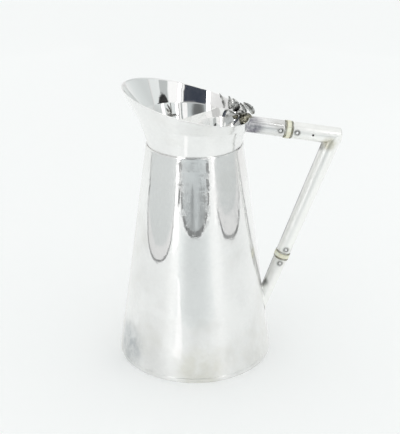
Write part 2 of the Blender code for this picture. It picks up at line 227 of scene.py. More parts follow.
def hand_raised(point):
    """Move a point of the body by the slight waves and knocks that hand raising and use leave."""
    axis_distance = math.hypot(point.x, point.y)
    around = Vector((point.x, point.y, 0.0)) / axis_distance
    fade = smoothstep(2.0 * MM, 40.0 * MM, point.z) * smoothstep(0.0, 10.0 * MM, WAIST_HEIGHT - point.z)
    waves = 0.16 * MM * noise.noise(point * 22.0)
    waves += 0.05 * MM * noise.noise(point * 62.0 + Vector((3.0, 7.0, 1.0)))
    knocks = 0.0
    for angle, height, depth, width in DENTS:
        centre = Vector((math.cos(angle), math.sin(angle), 0.0)) * body_radius(height)
        centre.z = height
        distance = (point - centre).length / width
        if distance < 3.0:
            knocks -= depth * math.exp(-distance * distance)
    knocks *= smoothstep(2.0 * MM, 8.0 * MM, point.z)
    return point + around * (fade * (waves - 0.1 * MM) + knocks)


def make_body():
    """Raised cone of sheet, open at both ends, with its top edge eased."""
    low = FOOT_HEIGHT + 0.05 * MM
    edge = 0.3 * MM
    outer = [(body_radius(z), z) for z in between(low, WAIST_HEIGHT - edge, 180)]
    top = [
        (WAIST_RADIUS - 0.09 * MM, WAIST_HEIGHT - 0.09 * MM),
        (WAIST_RADIUS - edge, WAIST_HEIGHT),
        (WAIST_RADIUS - SHEET + edge, WAIST_HEIGHT),
        (WAIST_RADIUS - SHEET + 0.05 * MM, WAIST_HEIGHT - 0.1 * MM),
    ]
    inner = [(body_radius(z) - SHEET, z) for z in between(WAIST_HEIGHT - edge, low, 90)]
    rows = [[hand_raised(p) for p in ring(r, z)] for r, z in outer + top + inner]
    mesh = ringed_mesh("body_shell", rows, SHEET_CREASE)
    return add_object("body_shell", mesh, SILVER, ["body"])


def make_foot_ring():
    """Wire of softened square section soldered under the body's edge."""
    half = FOOT_HEIGHT / 2
    inner = FOOT_RADIUS - FOOT_WIDTH
    bulge = 0.5 * MM
    profile = []
    for i in range(25):
        angle = math.radians(-90.0 + 7.5 * i)
        squared = math.copysign(abs(math.sin(angle)) ** 0.5, math.sin(angle))
        height = half + half * squared
        face = body_radius(height) + 0.05 * MM
        profile.append((face - bulge * (1.0 - max(0.0, math.cos(angle)) ** 0.4), height))
    profile += [(inner, FOOT_HEIGHT), (inner, 0.0)]
    mesh = ringed_mesh("foot_wire", [ring(r, z) for r, z in profile], SHEET_CREASE)
    add_object("foot_wire", mesh, SILVER, ["foot_ring"])


def make_base_plate():
    """Flat disc let into the foot ring, spun slightly hollow, with a turned ring underneath."""
    radius = FOOT_RADIUS - FOOT_WIDTH - 0.02 * MM
    profile = [(0.05 * MM, 0.55 * MM)]
    for i in range(1, 40):
        r = radius * i / 40
        dish = 0.55 * MM * (1.0 - smoothstep(0.3, 0.93, r / radius))
        groove = 0.12 * MM * math.exp(-(((r / radius) - 0.62) / 0.012) ** 2)
        groove += 0.08 * MM * math.exp(-(((r / radius) - 0.3) / 0.012) ** 2)
        profile.append((r, dish + groove))
    profile += [(radius - 0.3 * MM, 0.0), (radius, 0.2 * MM), (radius, 1.2 * MM)]
    profile += [(radius * (1.0 - i / 12), 1.2 * MM) for i in range(1, 12)] + [(0.05 * MM, 1.2 * MM)]
    mesh = ringed_mesh("base_disc", [ring(r, z) for r, z in profile], SHEET_CREASE, closed=False)
    add_object("base_disc", mesh, SILVER, ["base_plate"])


def collar_point(angle, rise, inset):
    """A point of the collar; rise is 0 at the waist, CREASE_RISE at the crease and 1 at the rim."""
    cos, sin = math.cos(angle), math.sin(angle)
    sleeve = SLEEVE_RADIUS - inset
    waist = Vector((sleeve * cos, sleeve * sin, WAIST_HEIGHT))
    x = CREASE_CENTRE_X + (CREASE_RADIUS - inset) * cos
    crease = Vector((x, (CREASE_RADIUS - inset) * sin, CREASE_HEIGHT_ON_AXIS + CREASE_SLOPE * x))
    x = RIM_CENTRE_X + (RIM_HALF_LENGTH - inset) * cos
    height = RIM_HEIGHT_ON_AXIS + RIM_SLOPE * (x + inset * cos)
    rim = Vector((x, (RIM_HALF_WIDTH - inset) * sin, height))
    if rise < CREASE_RISE:
        point = waist.lerp(crease, rise / CREASE_RISE)
        point -= LOWER_SAG * math.sin(math.pi * rise / CREASE_RISE) * Vector((cos, sin, 0.0))
    else:
        point = crease.lerp(rim, (rise - CREASE_RISE) / (1.0 - CREASE_RISE))
    wave = 0.2 * MM * noise.noise(point * 24.0 + Vector((9.0, 2.0, 5.0)))
    wave *= smoothstep(0.0, 0.25, rise) * smoothstep(0.0, 0.2, 1.0 - rise)
    return point + wave * Vector((cos, sin, 0.0))


def collar_row(rise, inset, drop=0.0):
    """One level of the collar all the way round."""
    down = Vector((0.0, 0.0, drop))
    return [collar_point(a, rise, inset) - down for a in turns(ROUND_STEPS)]


def make_collar():
    """Sleeve inside the body's top, the flare's two slopes, and a rounded rim.

    The faces that look up get the cleaner silver of the inside.
    """
    bottom = WAIST_HEIGHT - SLEEVE_DEPTH
    lower = between(0.0, CREASE_RISE - 0.02, 24) + [CREASE_RISE - 0.004]
    upper = [CREASE_RISE + 0.004] + between(CREASE_RISE + 0.02, 0.985, 34)
    rises = lower + upper
    outer = [ring(SLEEVE_RADIUS, z) for z in between(bottom, WAIST_HEIGHT - 0.2 * MM, 5)]
    outer += [collar_row(t, 0.0) for t in rises]
    lip = [
        collar_row(1.0, 0.10 * MM, 0.22 * MM),
        collar_row(1.0, 0.24 * MM, 0.07 * MM),
        collar_row(1.0, 0.45 * MM, 0.0),
        collar_row(1.0, 0.66 * MM, 0.07 * MM),
        collar_row(1.0, 0.80 * MM, 0.22 * MM),
    ]
    inner = [collar_row(t, SHEET) for t in reversed(rises)]
    inner += [ring(SLEEVE_RADIUS - SHEET, z) for z in between(WAIST_HEIGHT - 0.2 * MM, bottom, 5)]
    mesh = ringed_mesh("collar_shell", outer + lip + inner, SHEET_CREASE)
    piece = add_object("collar_shell", mesh, SILVER, ["collar"])
    mesh.materials.append(MIRROR_SILVER)
    for face in mesh.polygons:
        face.material_index = 1 if face.normal.z > 0.15 else 0
    return piece


# ---------------------------------------------------------------- handle


def upper_radius(station):
    return ELBOW_TUBE_RADIUS + (UPPER_ROOT_RADIUS - ELBOW_TUBE_RADIUS) * station / UPPER_ARM_LENGTH


def diagonal_radius(station):
    return ELBOW_TUBE_RADIUS + (LOWER_ROOT_RADIUS - ELBOW_TUBE_RADIUS) * station / DIAGONAL_LENGTH


def tube_outs(axis):
    """Unit vectors square to a tube's axis, in even steps all round it."""
    square = ACROSS.cross(axis).normalized()
    return [ACROSS * math.cos(turn) + square * math.sin(turn) for turn in turns(TUBE_STEPS)]


def plane_station(axis, offset, point, normal):
    """Distance along axis at which the line at this offset from it crosses a plane."""
    return (point - ELBOW - offset).dot(normal) / axis.dot(normal)


def cut_mesh(mesh, cutters):
    """The mesh with each cutter mesh taken out of it."""
    holder = bpy.data.objects.new("being_cut", mesh)
    link(holder)
    tools = []
    for cutter in cutters:
        tool = bpy.data.objects.new("cutting_tool", cutter)
        link(tool)
        cut = holder.modifiers.new("cut", "BOOLEAN")
        cut.object = tool
        cut.operation = "DIFFERENCE"
        cut.solver = "EXACT"
        tools.append(tool)
    bpy.context.view_layer.update()
    graph = bpy.context.evaluated_depsgraph_get()
    result = bpy.data.meshes.new_from_object(holder.evaluated_get(graph))
    result.name = mesh.name
    for tool in tools + [holder]:
        bpy.data.objects.remove(tool, do_unlink=True)
    result.shade_smooth()
    result.set_sharp_from_angle(angle=math.radians(METAL_CREASE))
    return result


def rod(name, centre, direction, radius, length, steps=32):
    """Closed rod mesh centred on a point."""
    mesh = bpy.data.meshes.new(name)
    shape = bmesh.new()
    bmesh.ops.create_cone(
        shape, cap_ends=True, segments=steps, radius1=radius, radius2=radius, depth=length
    )
    turn = direction.to_track_quat("Z", "Y").to_matrix().to_4x4()
    bmesh.ops.transform(shape, matrix=Matrix.Translation(centre) @ turn, verts=shape.verts)
    shape.to_mesh(mesh)
    shape.free()
    return mesh


def turned_on(axis, station, name, profile, closed):
    """Piece turned about an arm's axis from (distance along, radius) pairs about a station."""
    rows = []
    for along, radius in profile:
        centre = ELBOW + axis * (station + along)
        rows.append([centre + out * radius for out in tube_outs(axis)])
    return ringed_mesh(name, rows, METAL_CREASE, closed)


MITRE = (DIAGONAL_AXIS - UPPER_AXIS).normalized()
CORNER_PLANE = Vector((CORNER_CAP_X - SHEET, 0.0, 0.0))
CORNER_NORMAL = Vector((1.0, 0.0, 0.0))
# From the middle of an insulator to the ends of the tubes beside it
JOINT = FLANGE_THICKNESS / 2 + FERRULE_THICKNESS + 2 * FERRULE_GAP - 0.12 * MM


def elbow_stations(axis, offset):
    """Where a line at this offset from an arm's axis meets the mitre and the blunted corner."""
    mitre = plane_station(axis, offset, ELBOW, MITRE)
    corner = plane_station(axis, offset, CORNER_PLANE, CORNER_NORMAL)
    return mitre, corner


def elbow_start(axis, out, inset):
    """Where a line of an arm begins: on the mitre, or on the blunted corner."""
    return max(elbow_stations(axis, out * (ELBOW_TUBE_RADIUS - inset)))


def build_tube(name, axis, radius_at, last, count):
    """Tube wall from the elbow, eased a little at its mitre and more at its open end.

    shells lists the pairs of (share of the way, inset from the outer radius) that make up the
    section: up the outside, then down the inside.
    """
    length = last - elbow_start(axis, ACROSS, 0.0)
    near, far = MITRE_EDGE / length, OPEN_EDGE / length
    shells = [(0.0, MITRE_EDGE), (0.35 * near, 0.3 * MITRE_EDGE), (1.2 * near, 0.0)]
    shells += [(t, 0.0) for t in between(2.0 * near + 0.005, 1.0 - 2.0 * far - 0.005, count)]
    shells += [(1.0 - 1.2 * far, 0.0), (1.0 - 0.35 * far, 0.3 * OPEN_EDGE), (1.0, OPEN_EDGE)]
    shells += [(t, SHEET) for t in (1.0, 0.75, 0.5, 0.25, 0.0)]
    rows = []
    for share, inset in shells:
        row = []
        for out in tube_outs(axis):
            first = elbow_start(axis, out, inset)
            station = first + (last - first) * share
            row.append(ELBOW + axis * station + out * (radius_at(station) - inset))
        rows.append(row)
    return ringed_mesh(name, rows, METAL_CREASE)


def landing(axis, out, radius, root, surface):
    """Station at which a line of a socket lands on the vessel, sunk a little into it."""
    start = root - 25.0 * MM
    origin = ELBOW + axis * start + out * radius
    return start + surface.ray_cast(origin, axis)[3] + SOLDER_SINK


def socket_rows(axis, radius_at, first, root, surface, count, fillet, reach):
    """Rows of a socket: plain at its open end and spread into solder at its root."""
    outs = tube_outs(axis)
    lasts = [landing(axis, out, radius_at(root), root, surface) for out in outs]
    rows = []
    for along, inset in ((0.0, OPEN_EDGE), (0.07 * MM, 0.06 * MM), (0.2 * MM, 0.0)):
        rows.append([ELBOW + axis * (first + along) + o * (radius_at(first) - inset) for o in outs])
    for share in between(0.03, 0.86, count) + between(0.88, 1.0, 14):
        row = []
        for out, last in zip(outs, lasts):
            station = first + (last - first) * share
            near = max(0.0, 1.0 - (last - station) / reach)
            row.append(ELBOW + axis * station + out * (radius_at(station) + fillet * near ** 2.2))
        rows.append(row)
    for share in (1.0, 0.7, 0.35, 0.0):
        row = []
        for out, last in zip(outs, lasts):
            station = first + (last - first) * share
            row.append(ELBOW + axis * station + out * (radius_at(station) - SHEET))
        rows.append(row)
    return rows


def pin_cutters(axis, station):
    """Rods that cut the two pin holes beside an insulator: the outer one, then the inner."""
    radius = PIN_RADIUS + PIN_CLEARANCE
    centres = (ELBOW + axis * (station + side * PIN_OFFSET) for side in (-1, 1))
    return [rod("hole", centre, ACROSS, radius, 24 * MM) for centre in centres]


def add_cut(mesh, cutters, material, node):
    """Link a silver tube under its mesh's name, with its holes cut."""
    name = mesh.name
    add_object(name, cut_mesh(mesh, cutters), material, [node])


def make_handle(collar_surface, body_surface):
    """Both arms from the elbow to the insulators, and both sockets on to the vessel."""
    upper_holes = pin_cutters(UPPER_AXIS, UPPER_INSULATOR_STATION)
    lower_holes = pin_cutters(DIAGONAL_AXIS, LOWER_INSULATOR_STATION)
    near_wall = ELBOW + VENT_STATION * UPPER_AXIS - upper_radius(VENT_STATION) * ACROSS
    vent = rod("vent", near_wall, ACROSS, VENT_RADIUS, 6.0 * MM)

    last, cutters = UPPER_INSULATOR_STATION - JOINT, [upper_holes[0], vent]
    arm = build_tube("upper_arm_tube", UPPER_AXIS, upper_radius, last, 40)
    add_cut(arm, cutters, ARM_SILVER, "handle_upper_arm")
    last, cutters = LOWER_INSULATOR_STATION - JOINT, [lower_holes[0]]
    arm = build_tube("diagonal_arm_tube", DIAGONAL_AXIS, diagonal_radius, last, 90)
    add_cut(arm, cutters, DIAGONAL_SILVER, "handle_diagonal_arm")

    ends = UPPER_INSULATOR_STATION + JOINT, UPPER_ARM_LENGTH
    rows = socket_rows(UPPER_AXIS, upper_radius, *ends, collar_surface, 26, 1.0 * MM, 2.4 * MM)
    socket = ringed_mesh("upper_socket_tube", rows, METAL_CREASE)
    add_cut(socket, [upper_holes[1]], SOCKET_SILVER, "upper_handle_socket")
    ends = LOWER_INSULATOR_STATION + JOINT, DIAGONAL_LENGTH
    rows = socket_rows(DIAGONAL_AXIS, diagonal_radius, *ends, body_surface, 40, 0.9 * MM, 3.0 * MM)
    socket = ringed_mesh("lower_socket_tube", rows, METAL_CREASE)
    add_cut(socket, [lower_holes[1]], DIAGONAL_SILVER, "lower_handle_socket")


def make_corner_cap():
    """Oval plate over the blunted elbow, with a softened edge."""
    outline = []
    for axis, radius_at in ((UPPER_AXIS, upper_radius), (DIAGONAL_AXIS, diagonal_radius)):
        for out in tube_outs(axis):
            mitre, corner = elbow_stations(axis, out * ELBOW_TUBE_RADIUS)
            if corner >= mitre:
                outline.append(ELBOW + axis * corner + out * radius_at(corner))
    middle = sum(outline, Vector()) / len(outline)
    outline.sort(key=lambda p: math.atan2(p.z - middle.z, p.y))
    rows = []
    sections = ((0.0, 0.0), (0.3, 0.05), (0.55, 0.2), (0.75, 0.5), (0.87, 0.95), (0.9, 1.5))
    for out, inset in sections:
        row = []
        for p in outline:
            toward = (middle - p).normalized()
            q = p + toward * min(inset * MM, 0.8 * (middle - p).length)
            row.append(Vector((CORNER_PLANE.x + out * MM, q.y, q.z)))
        rows.append(row)
    rows.append([Vector((CORNER_CAP_X, *(middle.lerp(p, 0.02)).yz)) for p in outline])
    mesh = ringed_mesh("elbow_cap", rows, METAL_CREASE, closed=False)
    add_object("elbow_cap", mesh, ARM_SILVER, ["handle_corner_cap"])


def make_bone_ring(prefix, axis, station, tube_radius, tenon):
    """Flange between two tube ends, rounded at its edges, with a tenon on each side."""
    flange = tube_radius + FLANGE_PROUD
    half = FLANGE_THICKNESS / 2
    profile = [(-half - TENON_LENGTH, 0.2 * MM), (-half - TENON_LENGTH, tenon), (-half, tenon)]
    for middle, first_turn in ((-half + FLANGE_EDGE, 180.0), (half - FLANGE_EDGE, 90.0)):
        for i in range(9):
            turn = math.radians(first_turn - 11.25 * i)
            radius = flange - FLANGE_EDGE + FLANGE_EDGE * math.sin(turn)
            profile.append((middle + FLANGE_EDGE * math.cos(turn), radius))
    profile += [(half, tenon), (half + TENON_LENGTH, tenon), (half + TENON_LENGTH, 0.2 * MM)]
    mesh = turned_on(axis, station, f"{prefix}_bone_ring", profile, False)
    mesh = cut_mesh(mesh, pin_cutters(axis, station))
    add_object(f"{prefix}_bone_ring", mesh, BONE, [f"{prefix}_insulator"])


def make_bands(prefix, axis, station, tube_radius, tenon):
    """Thin crowned band on each side of the bone ring's flange."""
    shoulder = tube_radius + FERRULE_PROUD - FERRULE_CROWN
    bore = tenon + 0.1 * MM
    low = FLANGE_THICKNESS / 2 + 0.08 * MM
    high = FLANGE_THICKNESS / 2 + 2 * FERRULE_GAP + FERRULE_THICKNESS - 0.2 * MM
    for side, name in ((-1, "outer"), (1, "inner")):
        profile = [(side * low, bore), (side * low, shoulder)]
        for i in range(1, 8):
            turn = math.pi * i / 8
            along = (low + high) / 2 - (high - low) / 2 * math.cos(turn)
            profile.append((side * along, shoulder + FERRULE_CROWN * math.sin(turn)))
        profile += [(side * high, shoulder), (side * high, bore)]
        mesh = turned_on(axis, station, f"{prefix}_{name}_band", profile, True)
        node = f"{prefix}_{name}_ferrule"
        # The bands' dark finish is tarnish and painted shade of the gap beside the flange
        add_object(f"{prefix}_{name}_band", mesh, TARNISHED_AND_SHADED, [node])


def make_rivets(prefix, axis, radius_at, station):
    """Cross pin on each side of the bone ring, domed at both ends."""
    square = ACROSS.cross(axis)
    for side, name in ((-1, "outer"), (1, "inner")):
        place = station + side * PIN_OFFSET
        half_length = radius_at(place) + PIN_PROUD
        centre = ELBOW + axis * place
        profile = [(depth - half_length, radius) for depth, radius in PIN_DOME]
        profile += [(half_length - depth, radius) for depth, radius in reversed(PIN_DOME)]
        rows = []
        for along, radius in profile:
            ways = (axis * math.cos(a) + square * math.sin(a) for a in turns(PIN_STEPS))
            rows.append([centre + ACROSS * along + way * radius for way in ways])
        mesh = ringed_mesh(f"{prefix}_{name}_rivet", rows, METAL_CREASE, closed=False)
        node = f"{prefix}_{name}_pin"
        add_object(f"{prefix}_{name}_rivet", mesh, SILVER, [node])


def make_insulator(prefix, axis, radius_at, station):
    """Bone ring with its bands and pins."""
    tube_radius = radius_at(station)
    tenon = tube_radius - SHEET - TENON_CLEARANCE
    make_bone_ring(prefix, axis, station, tube_radius, tenon)
    make_bands(prefix, axis, station, tube_radius, tenon)
    make_rivets(prefix, axis, radius_at, station)


# ---------------------------------------------------------------- thumbpiece


SIDEWAYS = Vector((0.45, -0.85, 0.25))
UPWARDS = Vector((0.3, 0.0, 1.0))

# Node, root, tip and width in millimetres, the way the leaf faces, and its curl in millimetres
LEAVES = (
    ("thumb_leaf_back", (41.3, 0.4, 182.2), (34.0, 1.2, 190.3), 5.2, SIDEWAYS, 1.5),
    ("thumb_leaf_middle", (35.4, -2.4, 184.0), (31.2, -2.2, 191.0), 4.6, SIDEWAYS, 1.2),
    ("thumb_leaf_front", (28.8, 1.0, 183.8), (26.4, 1.6, 193.2), 8.2, SIDEWAYS, 1.2),
    ("thumb_leaf_far", (24.8, 3.6, 184.8), (24.4, 9.5, 192.4), 5.4, UPWARDS, 1.2),
    ("thumb_leaf_left", (20.8, 2.6, 186.2), (17.8, 10.8, 194.0), 3.6, UPWARDS, 1.0),
    ("thumb_leaf_near", (28.2, -3.4, 183.4), (20.6, -13.0, 184.4), 8.6, UPWARDS, 1.2),
)
LEAF_ROWS = 48
LEAF_COLUMNS = 32
LEAF_TEETH = 5.5


def make_leaf(name, root, tip, width, facing, curl):
    """Cast leaf: toothed outline, raised midrib and side veins, and a rolled edge."""
    root, tip = Vector(root) * MM, Vector(tip) * MM
    along = tip - root
    across = along.cross(facing).normalized()
    up = across.cross(along).normalized()
    seed = Vector((root.x, root.y, tip.z)) * 900.0
    front, back = [], []
    for i in range(LEAF_ROWS + 1):
        u = i / LEAF_ROWS
        swell = max(0.0, math.sin(math.pi * u ** 0.8)) ** 0.7
        half = width * MM / 2 * (0.12 + 0.88 * swell) * (1.0 - 0.25 * u)
        teeth = 1.0 - 0.20 * ((u * LEAF_TEETH) % 1.0) * smoothstep(0.05, 0.25, u)
        half = max(half * teeth, 0.18 * MM)
        top, bottom = [], []
        for j in range(LEAF_COLUMNS + 1):
            v = 2.0 * j / LEAF_COLUMNS - 1.0
            lift = curl * MM * math.sin(math.pi * u) + 0.22 * half * abs(v) ** 1.5
            warp = noise.noise(Vector((u * 3.0, v * 1.6, 0.0)) + seed)
            lift += 0.55 * MM * warp * (0.3 + 0.7 * abs(v))
            rib = 0.30 * MM * math.exp(-(v / 0.10) ** 2) * (1.0 - 0.6 * u)
            vein = math.sin(2.0 * math.pi * (u * LEAF_TEETH - abs(v) * 0.9))
            vein = 0.13 * MM * max(0.0, vein) ** 3 * (1.0 - v * v) * smoothstep(0.1, 0.3, abs(v))
            groove = -0.20 * MM * math.exp(-((abs(v) - 0.2) / 0.08) ** 2)
            place = root + along * u + across * (v * half) + up * lift
            thick = 0.36 * MM * math.sqrt(max(0.05, 1.0 - v ** 6))
            top.append(place + up * (thick + rib + vein + groove))
            bottom.append(place - up * thick)
        front.append(top)
        back.append(bottom)
    rows = [f + list(reversed(b)) for f, b in zip(front, back)]
    mesh = ringed_mesh(f"{name}_cast", rows, CAST_CREASE, closed=False)
    add_object(f"{name}_cast", mesh, CAST_SILVER, [name])


def lumpy(name, node, centre, radii, relief):
    """Rounded casting whose surface is worked into overlapping folds."""
    mesh = bpy.data.meshes.new(name)
    shape = bmesh.new()
    bmesh.ops.create_icosphere(shape, subdivisions=5, radius=1.0)
    for vert in shape.verts:
        way = vert.co.copy()
        fold = noise.voronoi(way * 2.1 + Vector((4.0, 1.0, 7.0)))[0]
        ridge = min(1.0, (fold[1] - fold[0]) * 1.6)
        grain = noise.noise(way * 7.0) * 0.3
        height = relief * (ridge + grain) - relief
        vert.co = centre + Vector((way.x * radii.x, way.y * radii.y, way.z * radii.z)) + way * height
    shape.to_mesh(mesh)
    shape.free()
    add_object(name, finish_mesh(mesh, FOLD_CREASE), CAST_SILVER, [node])


def make_twig():
    """Bark-covered twig from the knot towards the mouth."""
    rows = []
    count = 40
    for i in range(count + 1):
        t = i / count
        centre = STEM_START.lerp(STEM_END, t) + Vector((0.0, 0.0, 0.9 * MM * math.sin(math.pi * t)))
        centre.y += 0.3 * MM * math.sin(5.0 * t)
        radius = STEM_RADIUS * (1.0 - 0.45 * t) * (1.0 + 0.16 * math.exp(-((t - 0.45) / 0.08) ** 2))
        radius *= math.sqrt(max(0.02, 1.0 - max(0.0, (t - 0.93) / 0.07) ** 2))
        row = []
        for angle in turns(TWIG_STEPS):
            way = Vector((0.0, math.cos(angle), math.sin(angle)))
            bark = 1.0 + 0.10 * noise.noise(way * 2.5 + Vector((t * 3.0, 0.0, 0.0)))
            row.append(centre + way * radius * bark)
        rows.append(row)
    mesh = ringed_mesh("thumb_twig", rows, CAST_CREASE, closed=False)
    add_object("thumb_twig", mesh, CAST_SILVER, ["thumbpiece_stem"])


# ---------------------------------------------------------------- materials

CLEAN = (0.945, 0.945, 0.935)
CREAM = (0.985, 0.985, 0.96)
WORN = (0.78, 0.775, 0.75)
SOFT = (0.88, 0.875, 0.85)
OLIVE = (0.26, 0.25, 0.18)
# Grey of the painted shade on the diagonal arm's side towards the body
SIDE_SHADE = (0.36, 0.36, 0.38)
# Painted shade round the pins
PIN_GAP_SHADE = (0.05, 0.05, 0.045)

# Least and most roughness of the mirror under the scratches
CLEAR = (0.012, 0.045)
RUBBED = (0.06, 0.14)

# Direction that the diagonal arm's side towards the body faces; that side is darkened as painted shade
INNER_SIDE = Vector((-0.88, 0.36, 0.31))

# Darker spots: centre, reach and colour.  Most are tarnish; the ones round the pins are painted shade of
# the gaps in their holes
ROOT_SPOT = (Vector((39.5, -4.0, 174.0)) * MM, 11.0 * MM, (0.26, 0.25, 0.29))
BODY_SPOTS = (
    ROOT_SPOT,
    (Vector((-50.0, -23.0, 14.0)) * MM, 24.0 * MM, (0.55, 0.57, 0.58)),
    (Vector((-30.0, 44.0, 34.0)) * MM, 24.0 * MM, (0.74, 0.74, 0.73)),
    (Vector((34.0, 42.0, 60.0)) * MM, 20.0 * MM, (0.77, 0.77, 0.76)),
    (Vector((0.0, -56.0, 9.0)) * MM, 24.0 * MM, (0.84, 0.83, 0.77)),
    (Vector((-29.0, -47.0, 10.0)) * MM, 20.0 * MM, (0.85, 0.85, 0.84)),
)
HANDLE_SPOTS = (
    ROOT_SPOT,
    (Vector((51.0, -4.0, 52.0)) * MM, 5.0 * MM, (0.24, 0.24, 0.23)),
    (Vector((88.5, -2.0, 158.0)) * MM, 4.0 * MM, (0.24, 0.24, 0.22)),
    (Vector((94.0, -6.0, 161.0)) * MM, 7.0 * MM, (0.62, 0.60, 0.50)),
# Painted shade: a dark ring round each pin for the shade in its hole's gap
) + tuple(
    (ELBOW + axis * (station + along * PIN_OFFSET) + ACROSS * side * radius, 3.2 * MM, PIN_GAP_SHADE)
    for axis, station, radius in (
        (UPPER_AXIS, UPPER_INSULATOR_STATION, UPPER_ROOT_RADIUS),
        (DIAGONAL_AXIS, LOWER_INSULATOR_STATION, LOWER_ROOT_RADIUS),
    )
    for along in (-1, 1)
    for side in (-1, 1)
)


class Nodes:
    """Short-hand for a node tree: adds nodes and links their sockets."""

    def __init__(self, tree):
        self.tree = tree

    def add(self, kind, inputs=(), **settings):
        node = self.tree.nodes.new(kind)
        for key, value in settings.items():
            setattr(node, key, value)
        for key, value in dict(inputs).items():
            if isinstance(value, bpy.types.NodeSocket):
                self.tree.links.new(value, node.inputs[key])
            else:
                node.inputs[key].default_value = value
        return node

    def maths(self, operation, a, b=0.0):
        return self.add("ShaderNodeMath", {0: a, 1: b}, operation=operation).outputs[0]

    def span(self, value, low, high, start=0.0, end=1.0):
        return self.add(
            "ShaderNodeMapRange",
            {"Value": value, "From Min": low, "From Max": high, "To Min": start, "To Max": end},
            interpolation_type="SMOOTHSTEP",
        ).outputs["Result"]

    def noise(self, place, scale, detail=3.0, rough=0.5, stretch=(1.0, 1.0, 1.0)):
        moved = self.add("ShaderNodeMapping", {"Vector": place, "Scale": stretch}).outputs["Vector"]
        return self.add(
            "ShaderNodeTexNoise",
            {"Vector": moved, "Scale": scale, "Detail": detail, "Roughness": rough},
        ).outputs["Fac"]

    def bump(self, strength, distance, height):
        inputs = {"Strength": strength, "Distance": distance, "Height": height}
        return self.add("ShaderNodeBump", inputs).outputs["Normal"]

    def shader(self, colour, rough, more=()):
        inputs = {"Base Color": colour, "Roughness": rough, **dict(more)}
        return self.add("ShaderNodeBsdfPrincipled", inputs).outputs[0]

    def surface(self, shader):
        self.add("ShaderNodeOutputMaterial", {"Surface": shader})

    def blend(self, share, a, b):
        node = self.add("ShaderNodeMix", data_type="RGBA")
        for socket, value in ((node.inputs[0], share), (node.inputs[6], a), (node.inputs[7], b)):
            if isinstance(value, bpy.types.NodeSocket):
                self.tree.links.new(value, socket)
            else:
                socket.default_value = value
        return node.outputs[2]


def blank_material(name):
    material = bpy.data.materials.new(name)
    material.use_nodes = True
    material.node_tree.nodes.clear()
    return material, Nodes(material.node_tree)


def polished_silver(
    name, haziness, clear=CLEAR, ripple=0.12, grain=0.9, clean=CLEAN,
    tarnish_from=0.52, dull=WORN, spots=(), shaded_side=None,
):
    """Old polished silver: a mirror under a haze of round-and-round scratches, with smudges.

    haziness is the least and most share of scratched surface, and how much of that share is left
    high up, where polishing has been kinder; clear is the mirror's least and most roughness,
    ripple the strength of the fine planishing waves under the waist, grain how strongly the
    scratches run one way, and tarnish_from the smudge level where the clean colour starts to
    give way to the dull one.  The last argument is the direction of a side darkened as painted shade.
    """
    material, nodes = blank_material(name)
    place = nodes.add("ShaderNodeTexCoord").outputs["Object"]
    smudge = nodes.noise(place, 38.0, 4.0, 0.55)
    patch = nodes.noise(place, 90.0, 3.0, 0.6)
    fine_patch = nodes.noise(place, 160.0, 4.0, 0.65)
    streaks = nodes.noise(place, 60.0, 2.0, 0.6, stretch=(1.0, 1.0, 22.0))
    hairlines = nodes.noise(place, 240.0, 2.0, 0.7, stretch=(1.0, 1.0, 14.0))

    # Tarnish gathers in patches, low on the body and round the soldered roots of the handle
    height = nodes.add("ShaderNodeSeparateXYZ", {0: place}).outputs["Z"]
    low = nodes.span(height, 4.0 * MM, 48.0 * MM, 0.16, 0.0)
    tarnish = nodes.span(nodes.maths("ADD", smudge, low), tarnish_from, tarnish_from + 0.26)
    tarnish = nodes.maths("MULTIPLY", tarnish, nodes.span(fine_patch, 0.25, 0.65, 0.35, 1.0))
    colour = nodes.blend(tarnish, (*clean, 1.0), (*dull, 1.0))
    # Painted shade: the side that faces the given direction is darkened to a grey, in patches
    if shaded_side:
        normal = nodes.add("ShaderNodeNewGeometry").outputs["Normal"]
        facing = nodes.add("ShaderNodeVectorMath", {0: normal, 1: shaded_side}, operation="DOT_PRODUCT")
        side_shade = nodes.span(facing.outputs["Value"], 0.70, 0.98, 0.0, 0.85)
        side_shade = nodes.maths("MULTIPLY", side_shade, nodes.span(patch, 0.3, 0.6, 0.5, 1.0))
        colour = nodes.blend(side_shade, colour, (*SIDE_SHADE, 1.0))
    # Darker spots: tarnish, and painted shade round the pins
    for centre, reach, tone in spots:
        away = nodes.add("ShaderNodeVectorMath", {0: place, 1: centre}, operation="DISTANCE")
        near = nodes.span(away.outputs["Value"], 0.3 * reach, reach, 1.0, 0.0)
        near = nodes.maths("MULTIPLY", near, nodes.span(fine_patch, 0.3, 0.65, 0.35, 1.0))
        colour = nodes.blend(near, colour, (*tone, 1.0))

    # The mirror, with its fine waves from just under the waist upwards
    clear_rough = nodes.span(patch, 0.35, 0.75, *clear)
    combed = nodes.maths("MULTIPLY", streaks, nodes.span(fine_patch, 0.48, 0.62, 0.25, 2.0))
    combed = nodes.maths("MULTIPLY", combed, nodes.span(height, 110.0 * MM, 122.0 * MM, 0.10, 1.0))
    ripples = nodes.bump(ripple, 0.0002, combed)
    mirror = nodes.shader(colour, clear_rough, {"Metallic": 1.0, "Normal": ripples})

    # The scratches, which run round the piece's own upright axis
    fine = nodes.bump(0.25, 0.0002, hairlines)
    tangent = nodes.add("ShaderNodeTangent", direction_type="RADIAL", axis="Z").outputs["Tangent"]
    haze_rough = nodes.span(smudge, 0.3, 0.7, 0.40, 0.50)
    combing = {"Anisotropic": grain, "Anisotropic Rotation": 0.25, "Tangent": tangent}
    haze = nodes.shader(colour, haze_rough, {"Metallic": 1.0, "Normal": fine, **combing})

    least, most, high_up = haziness
    share = nodes.span(smudge, 0.35, 0.7, least, most)
    share = nodes.maths("MULTIPLY", share, nodes.span(height, 80.0 * MM, 120.0 * MM, 1.0, high_up))
    nodes.surface(nodes.add("ShaderNodeMixShader", {0: share, 1: mirror, 2: haze}).outputs[0])
    return material


